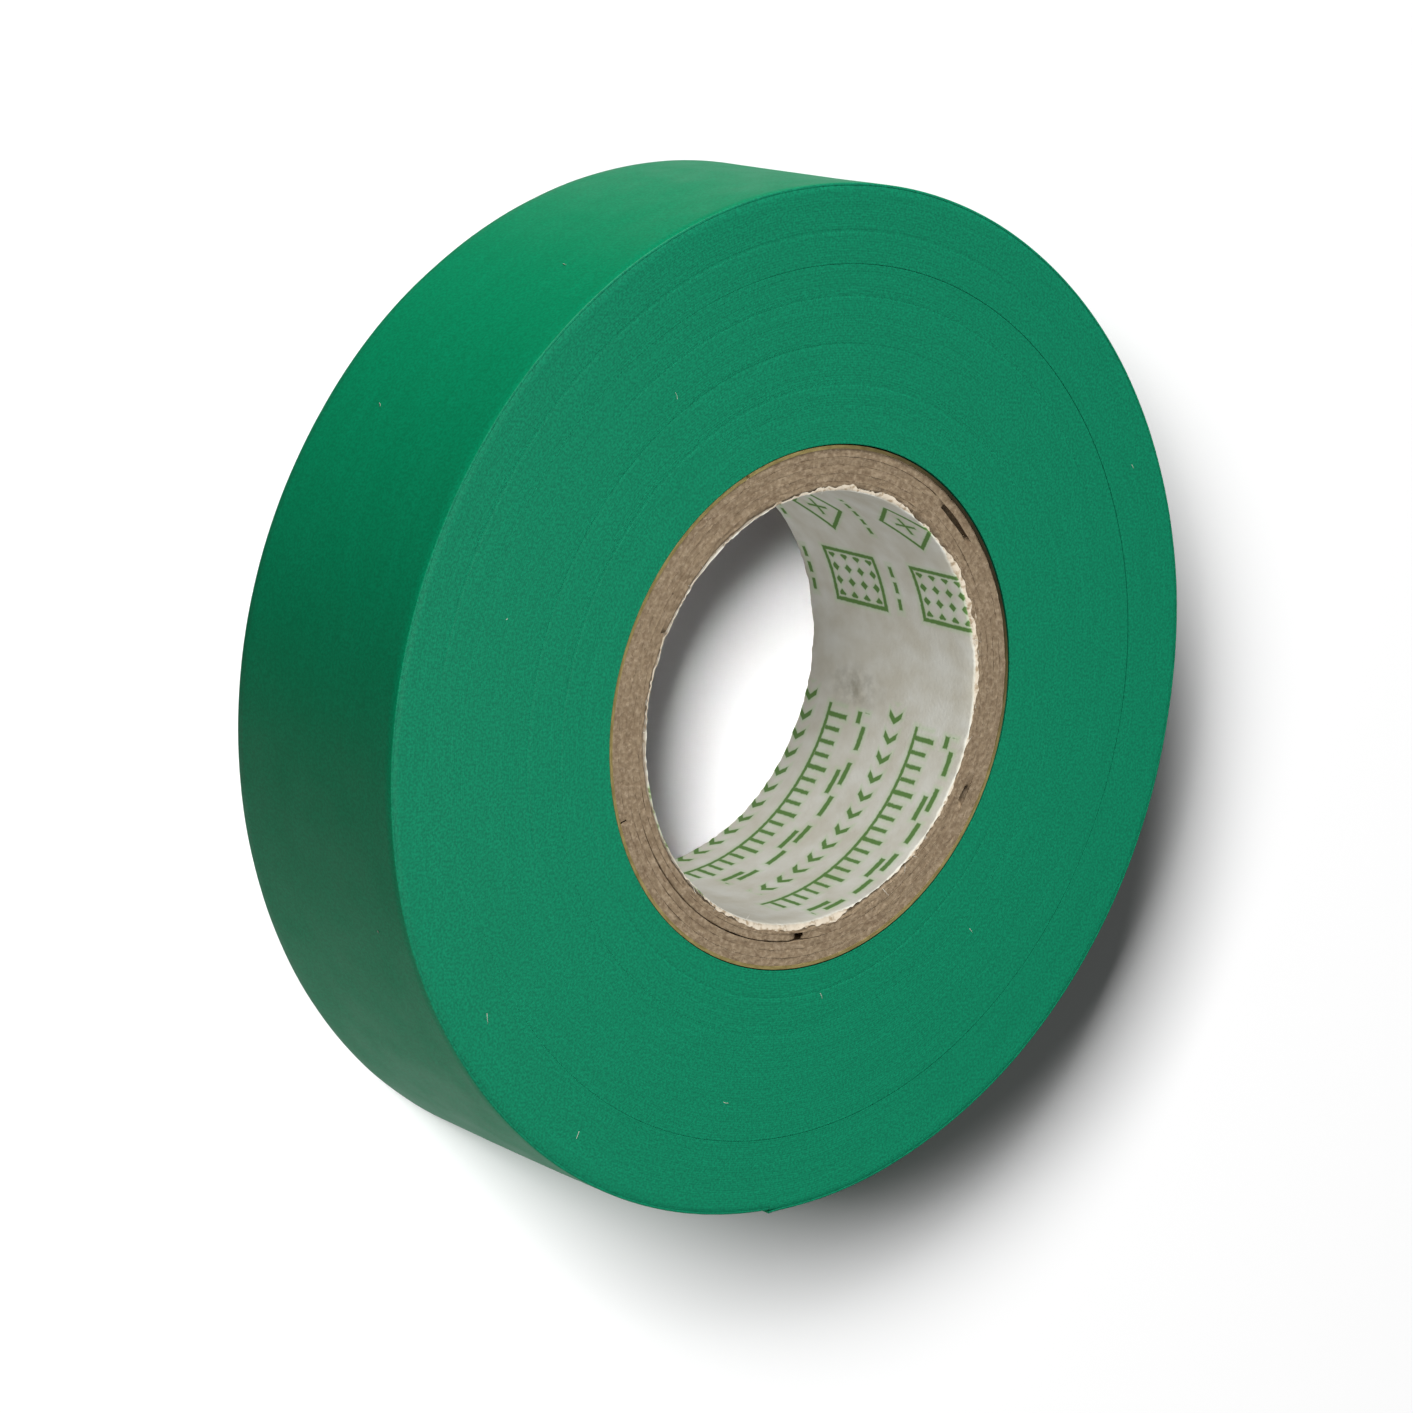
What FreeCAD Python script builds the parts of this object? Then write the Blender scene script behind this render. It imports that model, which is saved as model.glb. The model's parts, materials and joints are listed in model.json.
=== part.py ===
"""Roll of PVC electrical tape wound on a chipboard core.

The roll lies flat on its back face. The origin is the centre of the bore in the plane of the back face, and +Z
runs along the bore towards the front face. Lengths are millimetres and angles are degrees.

The core is a spirally wound tube: a paper liner, five chipboard plies that each have a slanting butt seam, and a
thin paper wrap. The tape is one strip, made here in stretches: the first turn, three windings that two tension
lines part, the last turn, and a free end of short lengths that hinge on each other. The outside of the roll is a
spiral of two half circles whose centres lie apart, so that it grows by one film thickness in a turn and ends in a
step at the tip of the strip.
"""

import FreeCAD, Part

import math
import os

import Sketcher

# ---------------------------------------------------------------- driving dimensions

PLIES = 5
END_PIECES = 5

SIZES = {
    # tape
    "tape_width": 19.0,
    "film_thickness": 0.18,
    "roll_radius": 39.4,  # outside of the last turn at its tip
    "inner_winding_radius": 25.0,  # outside of the inner winding
    "middle_winding_radius": 33.4,  # outside of the middle winding
    "tension_gap": 0.12,  # widest gap between the middle winding and the outer one
    "climb_gap": 0.6,  # where the first turn climbs over its own start
    # free end of the tape
    "tip_angle": 273.0,  # from +X about +Z
    "end_piece_angle": 8.0,  # what one length of the free end spans
    "end_clearance": 0.03,  # under and beside each length of the free end
    # core
    "core_radius": 20.0,
    "bore_radius": 16.5,
    "liner_thickness": 0.15,
    "wrap_thickness": 0.25,
    "core_gap": 0.2,  # widest gap between the core and the first turn
    "seam_lean": 30.0,  # slant of a ply's seam from the bore's axis
    # butt seam of each ply, counted from the bore outwards: its width along the front face, and its place there
    "seam_width_1": 0.3,
    "seam_width_2": 0.8,
    "seam_width_3": 1.4,
    "seam_width_4": 3.8,
    "seam_width_5": 0.3,
    "seam_angle_1": 160.0,
    "seam_angle_2": 274.0,
    "seam_angle_3": 338.0,
    "seam_angle_4": 50.0,
    "seam_angle_5": 205.0,
    "seam_width_wrap": 0.3,
    "seam_angle_wrap": 120.0,
}

SEAM_OVERRUN = 2.0  # how far the cut of a seam runs past both faces

# sizes worked out from the sheet's cells
LINER_OUTSIDE = "(sizes.bore_radius + sizes.liner_thickness)"
WRAP_INSIDE = "(sizes.core_radius - sizes.wrap_thickness)"
PLY_THICKNESS = f"(({WRAP_INSIDE} - {LINER_OUTSIDE}) / {PLIES})"
CORE_SHIFT = "(sizes.core_gap / 2)"  # the windings' centre, along +X from the bore's
OUTER_SHIFT = "((sizes.core_gap + sizes.tension_gap) / 2)"
WOUND_INSIDE = "(sizes.core_radius + sizes.core_gap / 2)"
FIRST_TURN_OUTSIDE = f"({WOUND_INSIDE} + sizes.film_thickness)"
OUTER_WINDING_INSIDE = "(sizes.middle_winding_radius + sizes.tension_gap / 2)"
SPIRAL_SHIFT = "(sizes.film_thickness / 4)"  # each half circle's centre, from the bore's axis
WIDE_HALF = "(sizes.roll_radius - sizes.film_thickness / 4)"  # radius of the half that ends in the tip
NARROW_HALF = "(sizes.roll_radius - sizes.film_thickness * 3 / 4)"
END_INSIDE = f"({WIDE_HALF} - sizes.film_thickness + sizes.end_clearance)"
END_OUTSIDE = f"({WIDE_HALF} + sizes.end_clearance)"
END_GAP_ANGLE = "(sizes.end_clearance / sizes.roll_radius * 180 / pi)"
FREE_END_ANGLE = f"({END_PIECES} * sizes.end_piece_angle)"

doc = FreeCAD.newDocument("tape_roll")


def make_sheet():
    """Write each driving dimension to a cell of its own, with its name as the alias."""
    sheet = doc.addObject("Spreadsheet::Sheet", "sizes")
    for row, (name, value) in enumerate(SIZES.items(), start=1):
        sheet.set(f"A{row}", name)
        sheet.set(f"B{row}", str(value))
        sheet.setAlias(f"B{row}", name)
    doc.recompute()
    return sheet


sizes = make_sheet()


def value(expression):
    """Present value of an expression of the sheet's cells."""
    result = sizes.evalExpression(expression)
    return float(getattr(result, "Value", result))


# ---------------------------------------------------------------- sketches and features

ORIGIN = (-1, 1)  # the sketch's origin, as a geometry number and a point number
X_AXIS = -1
START, END, CENTRE = 1, 2, 3  # point numbers on a line or an arc


def new_body(label):
    body = doc.addObject("PartDesign::Body", label)
    body.Label = label
    return body


def new_sketch(body, name, role="XY_Plane"):
    """Sketch on one of the body's own origin planes."""
    sketch = body.newObject("Sketcher::SketchObject", f"{body.Label}_{name}")
    plane = next(feature for feature in body.Origin.OriginFeatures if feature.Role == role)
    sketch.AttachmentSupport = (plane, [""])
    sketch.MapMode = "FlatFace"
    return sketch


def dimension(sketch, name, kind, where, expression):
    """Add a named dimension to a sketch and bind it to the sheet; an angle's expression is in degrees."""
    size = value(expression)
    if kind == "Angle":
        size = math.radians(size)
        expression = f"({expression}) * 1 deg"
    index = sketch.addConstraint(Sketcher.Constraint(kind, *where, size))
    sketch.renameConstraint(index, name)
    sketch.setExpression(f"Constraints.{name}", expression)


def fix(sketch, kind, *where):
    sketch.addConstraint(Sketcher.Constraint(kind, *where))


def flat_point(distance, degrees=0.0, centre=0.0):
    """Point of a sketch at a distance and an angle from a centre on its X axis."""
    turn = math.radians(degrees)
    return FreeCAD.Vector(centre + distance * math.cos(turn), distance * math.sin(turn), 0)


def add_circle(sketch, radius):
    circle = Part.Circle(FreeCAD.Vector(), FreeCAD.Vector(0, 0, 1), radius)
    return sketch.addGeometry(circle, False)


def add_arc(sketch, radius, start, end, centre=0.0):
    """Arc that turns from one angle to another about a centre on the X axis."""
    circle = Part.Circle(flat_point(centre), FreeCAD.Vector(0, 0, 1), radius)
    arc = Part.ArcOfCircle(circle, math.radians(start), math.radians(end))
    return sketch.addGeometry(arc, False)


def add_line(sketch, start, end):
    return sketch.addGeometry(Part.LineSegment(start, end), False)


def raise_pad(body, sketch):
    """Pad a sketch of the back face up to the front face."""
    pad = body.newObject("PartDesign::Pad", f"{body.Label}_pad")
    pad.Profile = sketch
    pad.setExpression("Length", "sizes.tape_width")
    body.Tip = pad
    doc.recompute()


def place(body, angle="0", x="0", y="0"):
    """Turn a body about the bore's direction and set it down at a point of the back face's plane."""
    upright = FreeCAD.Rotation(FreeCAD.Vector(0, 0, 1), value(angle))
    body.Placement = FreeCAD.Placement(FreeCAD.Vector(value(x), value(y), 0), upright)
    body.setExpression("Placement.Rotation.Angle", f"({angle}) * 1 deg")
    body.setExpression("Placement.Base.x", x)
    body.setExpression("Placement.Base.y", y)


# ---------------------------------------------------------------- rings


def make_ring(label, inside, outside):
    """Plain ring about its body's own axis, as wide as the tape."""
    body = new_body(label)
    sketch = new_sketch(body, "profile")
    for name, radius in (("inside", inside), ("outside", outside)):
        circle = add_circle(sketch, value(radius))
        fix(sketch, "Coincident", circle, CENTRE, *ORIGIN)
        dimension(sketch, name, "Radius", (circle,), radius)
    raise_pad(body, sketch)
    return body


def cut_seam(body, width, lean="0"):
    """Cut a slot through the wall on the body's +Y side, as wide as stated and centred on X = 0 at the front face.

    The slot leans towards -X on its way down to the back face.
    """
    slope = math.tan(math.radians(value(lean)))
    top = value("sizes.tape_width") + SEAM_OVERRUN
    half = value(width) / 2

    def corner(height, side):
        across = (height - value("sizes.tape_width")) * slope
        return FreeCAD.Vector(across + side * half, height, 0)

    sketch = new_sketch(body, "seam", "XZ_Plane")
    bottom_line = add_line(sketch, corner(-SEAM_OVERRUN, -1), corner(-SEAM_OVERRUN, 1))
    right_line = add_line(sketch, corner(-SEAM_OVERRUN, 1), corner(top, 1))
    top_line = add_line(sketch, corner(top, 1), corner(top, -1))
    left_line = add_line(sketch, corner(top, -1), corner(-SEAM_OVERRUN, -1))
    face_point = sketch.addGeometry(Part.Point(corner(value("sizes.tape_width"), 1)), True)
    fix(sketch, "Coincident", bottom_line, END, right_line, START)
    fix(sketch, "Coincident", right_line, END, top_line, START)
    fix(sketch, "Coincident", top_line, END, left_line, START)
    fix(sketch, "Coincident", left_line, END, bottom_line, START)
    fix(sketch, "Horizontal", bottom_line)
    fix(sketch, "Horizontal", top_line)
    fix(sketch, "Parallel", right_line, left_line)
    fix(sketch, "PointOnObject", face_point, START, right_line)
    dimension(sketch, "rise", "Angle", (right_line,), f"90 - {lean}")
    dimension(sketch, "under", "DistanceY", (bottom_line, START, *ORIGIN), str(SEAM_OVERRUN))
    dimension(sketch, "over", "DistanceY", (*ORIGIN, top_line, START), f"sizes.tape_width + {SEAM_OVERRUN}")
    dimension(sketch, "width", "DistanceX", (bottom_line, START, bottom_line, END), width)
    dimension(sketch, "face", "DistanceY", (*ORIGIN, face_point, START), "sizes.tape_width")
    dimension(sketch, "half_width", "DistanceX", (*ORIGIN, face_point, START), f"{width} / 2")
    whole = body.Shape.Volume
    pocket = body.newObject("PartDesign::Pocket", f"{body.Label}_seam_cut")
    pocket.Profile = sketch
    pocket.Type = "ThroughAll"
    body.Tip = pocket
    doc.recompute()
    if not body.Shape.Volume < whole:
        raise RuntimeError(f"the seam of {body.Label} cuts nothing")


def place_seam(body, angle):
    """Turn a body so that its seam, cut at +Y, meets the front face at an angle from +X."""
    place(body, f"{angle} - 90")


# ---------------------------------------------------------------- the tape's outside


def add_spiral(sketch, prefix, inset, end=None):
    """Add the two half circles of the roll's outside, or of a turn under it, to a sketch.

    The wide half turns from +X to -X above the X axis, or starts at the angle `end` instead, and the narrow half
    goes on below it to +X. Returns both arcs.
    """
    shift = value(SPIRAL_SHIFT)
    wide = add_arc(sketch, value(f"{WIDE_HALF} - {inset}"), value(end or "0"), 180, shift)
    narrow = add_arc(sketch, value(f"{NARROW_HALF} - {inset}"), 180, 360, -shift)
    fix(sketch, "PointOnObject", wide, CENTRE, X_AXIS)
    fix(sketch, "PointOnObject", narrow, CENTRE, X_AXIS)
    fix(sketch, "PointOnObject", wide, END, X_AXIS)
    fix(sketch, "Coincident", wide, END, narrow, START)
    fix(sketch, "PointOnObject", narrow, END, X_AXIS)
    dimension(sketch, f"{prefix}_wide_centre", "DistanceX", (*ORIGIN, wide, CENTRE), SPIRAL_SHIFT)
    dimension(sketch, f"{prefix}_narrow_centre", "DistanceX", (narrow, CENTRE, *ORIGIN), SPIRAL_SHIFT)
    dimension(sketch, f"{prefix}_radius", "Radius", (wide,), f"{WIDE_HALF} - {inset}")
    return wide, narrow


def join(sketch, first, second):
    """Close two points of a sketch with a line; each point is a geometry number and a point number."""
    line = add_line(sketch, sketch.getPoint(*first), sketch.getPoint(*second))
    fix(sketch, "Coincident", line, START, *first)
    fix(sketch, "Coincident", line, END, *second)
    return line


def make_outer_winding():
    """Winding from the outer tension line to the turn under the last one, with the step that the last starts at."""
    body = new_body("tape_outer_winding")
    sketch = new_sketch(body, "profile")
    wide, narrow = add_spiral(sketch, "outside", "sizes.film_thickness")
    fix(sketch, "PointOnObject", wide, START, X_AXIS)
    join(sketch, (narrow, END), (wide, START))
    inside = add_circle(sketch, value(OUTER_WINDING_INSIDE))
    across = f"{OUTER_SHIFT} * cos(sizes.tip_angle * 1 deg)"
    along = f"{OUTER_SHIFT} * -sin(sizes.tip_angle * 1 deg)"
    dimension(sketch, "inside", "Radius", (inside,), OUTER_WINDING_INSIDE)
    dimension(sketch, "inside_across", "DistanceX", (*ORIGIN, inside, CENTRE), across)
    dimension(sketch, "inside_along", "DistanceY", (*ORIGIN, inside, CENTRE), along)
    raise_pad(body, sketch)
    place(body, "sizes.tip_angle")


def make_last_turn():
    """The strip's last turn, from the step in the winding under it to the root of the free end."""
    body = new_body("tape_last_turn")
    sketch = new_sketch(body, "profile")
    outer_wide, outer_narrow = add_spiral(sketch, "outside", "0", FREE_END_ANGLE)
    inner_wide, inner_narrow = add_spiral(sketch, "inside", "sizes.film_thickness", FREE_END_ANGLE)
    join(sketch, (inner_narrow, END), (outer_narrow, END))
    root = join(sketch, (inner_wide, START), (outer_wide, START))
    fix(sketch, "PointOnObject", outer_wide, CENTRE, root)
    dimension(sketch, "root", "Angle", (root,), FREE_END_ANGLE)
    raise_pad(body, sketch)
    place(body, "sizes.tip_angle")


def make_end_piece(number):
    """One length of the free end, counted from its root to the tip.

    Its profile starts on its body's X axis, on the side of the tip, and the body's axis is the wide half circle's.
    """
    body = new_body(f"tape_end_{number}")
    sketch = new_sketch(body, "profile")
    span = f"(sizes.end_piece_angle - {END_GAP_ANGLE})"
    outer = add_arc(sketch, value(END_OUTSIDE), 0, value(span))
    inner = add_arc(sketch, value(END_INSIDE), 0, value(span))
    for name, arc, radius in (("outside", outer, END_OUTSIDE), ("inside", inner, END_INSIDE)):
        fix(sketch, "Coincident", arc, CENTRE, *ORIGIN)
        fix(sketch, "PointOnObject", arc, START, X_AXIS)
        dimension(sketch, name, "Radius", (arc,), radius)
    join(sketch, (inner, START), (outer, START))
    root = join(sketch, (inner, END), (outer, END))
    fix(sketch, "PointOnObject", outer, CENTRE, root)
    dimension(sketch, "span", "Angle", (root,), span)
    raise_pad(body, sketch)
    place(
        body,
        f"sizes.tip_angle + {END_PIECES - number} * sizes.end_piece_angle",
        f"{SPIRAL_SHIFT} * cos(sizes.tip_angle * 1 deg)",
        f"{SPIRAL_SHIFT} * sin(sizes.tip_angle * 1 deg)",
    )


# ---------------------------------------------------------------- the pieces


def make_core():
    """Paper liner, chipboard plies and paper wrap, from the bore outwards."""
    make_ring("core_liner", "sizes.bore_radius", LINER_OUTSIDE)
    for number in range(1, PLIES + 1):
        inside = f"({LINER_OUTSIDE} + {number - 1} * {PLY_THICKNESS})"
        outside = f"({LINER_OUTSIDE} + {number} * {PLY_THICKNESS})"
        ply = make_ring(f"core_ply_{number}", inside, outside)
        cut_seam(ply, f"sizes.seam_width_{number}", "sizes.seam_lean")
        place_seam(ply, f"sizes.seam_angle_{number}")
    wrap = make_ring("core_wrap", WRAP_INSIDE, "sizes.core_radius")
    cut_seam(wrap, "sizes.seam_width_wrap", "sizes.seam_lean")
    place_seam(wrap, "sizes.seam_angle_wrap")


def make_tape():
    """The strip, from the core outwards."""
    first_turn = make_ring("tape_first_turn", WOUND_INSIDE, FIRST_TURN_OUTSIDE)
    cut_seam(first_turn, "sizes.climb_gap")
    place(first_turn, x=CORE_SHIFT)
    inner = make_ring("tape_inner_winding", FIRST_TURN_OUTSIDE, "sizes.inner_winding_radius")
    place(inner, x=CORE_SHIFT)
    middle = make_ring("tape_middle_winding", "sizes.inner_winding_radius", "sizes.middle_winding_radius")
    place(middle, x=CORE_SHIFT)
    make_outer_winding()
    make_last_turn()
    for number in range(1, END_PIECES + 1):
        make_end_piece(number)


def check_and_export():
    """Stop on any failed object or bad shape, then write each body to a file of its own."""
    doc.recompute()
    for item in doc.Objects:
        if "Invalid" in item.State or "Error" in item.State:
            raise RuntimeError(f"{item.Label} failed: {item.State}")
    bodies = [item for item in doc.Objects if item.TypeId == "PartDesign::Body"]
    for body in bodies:
        if body.Shape.isNull() or not body.Shape.isValid() or len(body.Shape.Solids) != 1:
            raise RuntimeError(f"{body.Label} isn't one good solid")
    os.makedirs("parts", exist_ok=True)
    for body in bodies:
        body.Shape.exportStep(f"parts/{body.Label}.step")
        box = body.Shape.BoundBox
        print(f"{body.Label:20} {body.Shape.Volume:10.2f} mm3  x {box.XMin:8.3f} {box.XMax:8.3f}"
              f"  y {box.YMin:8.3f} {box.YMax:8.3f}  z {box.ZMin:7.3f} {box.ZMax:7.3f}")


make_core()
make_tape()
check_and_export()
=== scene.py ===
"""Looks of a roll of PVC electrical tape on a chipboard core.

The roll lies flat on its back face, with +Z along its bore. Sizes are millimetres in this file and
become metres where a mesh is made. Angles are degrees from +X about +Z.

Every shape is a surface of two parameters: a closed profile in the plane of radius and height, carried
round the bore. The tape's windings carry the relief of their single turns, the last turn and the free
end are one film, and the core's plies have the rough cut ends, butt seams and torn liner of a spirally
wound tube.
"""

from __future__ import annotations

import json
import logging
import math
from dataclasses import dataclass, field
from enum import Enum
from functools import partial
from typing import Any

import bpy
import numpy as np
from mathutils import Matrix, Vector

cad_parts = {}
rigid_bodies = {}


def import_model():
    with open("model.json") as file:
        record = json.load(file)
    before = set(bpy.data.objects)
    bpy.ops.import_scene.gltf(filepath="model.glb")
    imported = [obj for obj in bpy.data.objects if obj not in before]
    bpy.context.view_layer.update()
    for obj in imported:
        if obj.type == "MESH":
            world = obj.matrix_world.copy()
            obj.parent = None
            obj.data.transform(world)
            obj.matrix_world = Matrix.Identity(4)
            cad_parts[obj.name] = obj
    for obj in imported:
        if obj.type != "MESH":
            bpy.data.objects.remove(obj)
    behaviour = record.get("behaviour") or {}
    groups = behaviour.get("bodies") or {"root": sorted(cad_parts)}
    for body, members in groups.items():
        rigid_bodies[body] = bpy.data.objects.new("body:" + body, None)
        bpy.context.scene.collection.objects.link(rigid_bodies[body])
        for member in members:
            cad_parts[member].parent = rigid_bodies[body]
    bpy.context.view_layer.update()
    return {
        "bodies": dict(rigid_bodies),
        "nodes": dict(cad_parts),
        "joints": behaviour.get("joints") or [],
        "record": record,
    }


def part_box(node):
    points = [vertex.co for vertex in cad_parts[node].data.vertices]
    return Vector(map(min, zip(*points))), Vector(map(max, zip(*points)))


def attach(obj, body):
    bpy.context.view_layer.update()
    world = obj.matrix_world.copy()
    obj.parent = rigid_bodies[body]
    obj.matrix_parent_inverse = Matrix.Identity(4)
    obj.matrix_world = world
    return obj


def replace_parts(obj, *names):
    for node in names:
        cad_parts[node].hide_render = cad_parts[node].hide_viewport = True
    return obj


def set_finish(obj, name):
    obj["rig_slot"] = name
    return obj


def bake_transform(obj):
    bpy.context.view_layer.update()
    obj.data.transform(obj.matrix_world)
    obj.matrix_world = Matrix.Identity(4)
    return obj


MM = 0.001
METRE = 1000.0
# Faces that meet at more than this angle keep a sharp corner.
CORNER = math.radians(50)
# Thickness of the tape in mm.
FILM = 0.18
# Depths in mm down a ply's wall from its cut end, and the share of a crack's width that is left there.
OPEN_LEVELS = ((0.03, 0.7), (0.5, 0.6), (1.5, 0.45), (3.0, 0.2), (5.0, 0.0))
# Places across one turn's edge where a face has a row of points; the first is in the groove.
TURN_MARKS = (0.0, 0.27, 0.73)
# Four angles of the quarter circle in which the liner folds outwards.
FOLD = np.radians([[22.0], [45.0], [68.0], [90.0]])

Array = np.ndarray
Socket = bpy.types.NodeSocket
Tree = bpy.types.NodeTree
Material = bpy.types.Material
Piece = bpy.types.Object
log = logging.getLogger("tape_roll")


class Slot(Enum):
    """The record's material slots that new pieces take."""

    FILM = "pvc_film"
    BOARD = "chipboard"
    LINER = "liner_paper"


class Kind(Enum):
    """Shader nodes of the finishes: type, inputs that values go to in order, and the output used."""

    MIX = ("ShaderNodeMix", (0, 6, 7), 2)
    NOISE = ("ShaderNodeTexNoise", ("Vector", "Scale", "Detail", "Roughness"), 0)
    RANGE = ("ShaderNodeMapRange", (0, 1, 2, 3, 4), 0)
    BUMP = ("ShaderNodeBump", ("Height", "Distance", "Strength", "Normal"), 0)
    PLACE = ("ShaderNodeTexCoord", (), "Object")
    UV = ("ShaderNodeUVMap", (), 0)
    SPLIT = ("ShaderNodeSeparateXYZ", (0,), 0)
    JOIN = ("ShaderNodeCombineXYZ", (0, 1, 2), 0)
    VECTOR = ("ShaderNodeVectorMath", (0, 1), 0)
    LENGTH = ("ShaderNodeVectorMath", (0,), 1)


class Sum(Enum):
    """Arithmetic steps of the finishes."""

    ADD = "ADD"
    SUBTRACT = "SUBTRACT"
    MULTIPLY = "MULTIPLY"
    MULTIPLY_ADD = "MULTIPLY_ADD"
    DIVIDE = "DIVIDE"
    MINIMUM = "MINIMUM"
    MAXIMUM = "MAXIMUM"
    ABSOLUTE = "ABSOLUTE"
    PINGPONG = "PINGPONG"
    MODULO = "FLOORED_MODULO"


# ---------------------------------------------------------------- heights and angles


def eased(share: Array) -> Array:
    """Ease a share from 0 to 1 with level ends, by 3s^2 - 2s^3."""
    share = np.clip(share, 0, 1)
    return share * share * (3 - 2 * share)


def relief(around: Array, along: Array, cells: tuple[int, int], seed: int) -> Array:
    """Smooth random heights: a lattice of random values from -1 to 1, joined by eased curves.

    Args:
        around: shares of a full turn, which the lattice closes on.
        along: shares of the second direction, from 0 to 1.
        cells: lattice cells in each direction.
        seed: seed of the random values.

    Returns:
        Heights from -1 to 1, one for each pair of shares.
    """
    lattice = np.random.default_rng(seed).uniform(-1, 1, (cells[0], cells[1] + 2))
    x, y = (around % 1) * cells[0], np.clip(along, 0, 1) * cells[1]
    i, j = np.floor(x).astype(int) % cells[0], np.floor(y).astype(int)
    u, v = eased(x - np.floor(x)), eased(y - j)
    near = lattice[i, j] * (1 - u) + lattice[(i + 1) % cells[0], j] * u
    far = lattice[i, j + 1] * (1 - u) + lattice[(i + 1) % cells[0], j + 1] * u
    return near * (1 - v) + far * v


def ripple(share: Array, cells: int, seed: int) -> Array:
    """Smooth random heights that only change round the bore, from -1 to 1."""
    return relief(share, 0 * share, (cells, 1), seed)


def polar(radius: Array, turn: Array, height: Array) -> Array:
    """Points (radius cos turn, radius sin turn, height), with the turn in radians."""
    return np.stack([radius * np.cos(turn), radius * np.sin(turn), height], -1)


def away(angle: Array, centre: float) -> Array:
    """Degrees from a centre, the short way round, from -180 to 180."""
    return (angle - centre + 180) % 360 - 180


def window(angle: Array, first: float, last: float, fade: float) -> Array:
    """One between two angles, fading to zero outside them over some degrees."""
    middle, half = (first + last) / 2, (last - first) / 2
    return eased(1 - (np.abs(away(angle, middle)) - half) / fade)


# ---------------------------------------------------------------- meshes


def add_piece(name: str, points: Array, faces: list[Any], finishes: list[Material]) -> Piece:
    """Make a smooth-shaded mesh object at the origin, with its sharp corners kept.

    Args:
        name: the piece's name.
        points: places in mm, one row each.
        faces: lists of point numbers, running round each face as seen from outside.
        finishes: the materials, in the order of their slots.

    Returns:
        The new object, in metres.
    """
    mesh = bpy.data.meshes.new(name)
    mesh.from_pydata(points * MM, [], faces)
    mesh.shade_smooth()
    mesh.set_sharp_from_angle(angle=CORNER)
    for finish in finishes:
        mesh.materials.append(finish)
    piece = bpy.data.objects.new(name, mesh)
    bpy.context.scene.collection.objects.link(piece)
    return piece


def carry_round(
    name: str, radius: Array, angle: Array, height: Array, closed: bool, finishes: list[Material],
    finish_of_row: Array | None = None,
) -> Piece:
    """Make a mesh of a closed profile carried round the bore.

    A point lies at (radius cos angle, radius sin angle, height). The profile runs outwards over the
    front face, down the outside, inwards over the back face and up the inside, so the faces point
    outwards. The UV map is in mm: the length round the bore, and the height.

    Args:
        name: the piece's name.
        radius: radii in mm, one row for each profile point and one column for each angle.
        angle: angles in degrees, of the same shape.
        height: heights in mm, of the same shape.
        closed: whether the last column joins the first; else both ends get a cap.
        finishes: the materials.
        finish_of_row: which material each profile row has, or None for the first on all.

    Returns:
        The new object.
    """
    points = polar(radius, np.radians(angle), height).reshape(-1, 3)
    index = np.arange(radius.size).reshape(radius.shape)
    columns = radius.shape[1] if closed else radius.shape[1] - 1

    def corners(grid: Array, step: float) -> Array:
        """The four corners of each face, from a grid of values that grows by a step in a full turn."""
        after = np.concatenate([grid[:, 1:], grid[:, :1] + step], axis=1)
        faces = np.stack([grid, np.roll(grid, -1, 0), np.roll(after, -1, 0), after], -1)
        return faces[:, :columns].reshape(-1, 4)

    faces = corners(index, 0).tolist()
    if not closed:
        faces += [index[::-1, 0].tolist(), index[:, -1].tolist()]
    piece = add_piece(name, points, faces, finishes)
    mesh = piece.data
    around, up = corners(angle, 360.0).ravel(), corners(height, 0.0).ravel()
    uv = np.zeros((len(mesh.loops), 2), np.float32)
    uv[:around.size] = np.stack([np.radians(around) * radius.mean(), up], -1)
    mesh.uv_layers.new(name="mm").data.foreach_set("uv", uv.ravel())
    if finish_of_row is not None:
        numbers = np.zeros(len(mesh.polygons), np.int32)
        numbers[:radius.shape[0] * columns] = np.repeat(finish_of_row, columns)
        mesh.polygons.foreach_set("material_index", numbers)
    mesh.update()
    return piece


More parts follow.
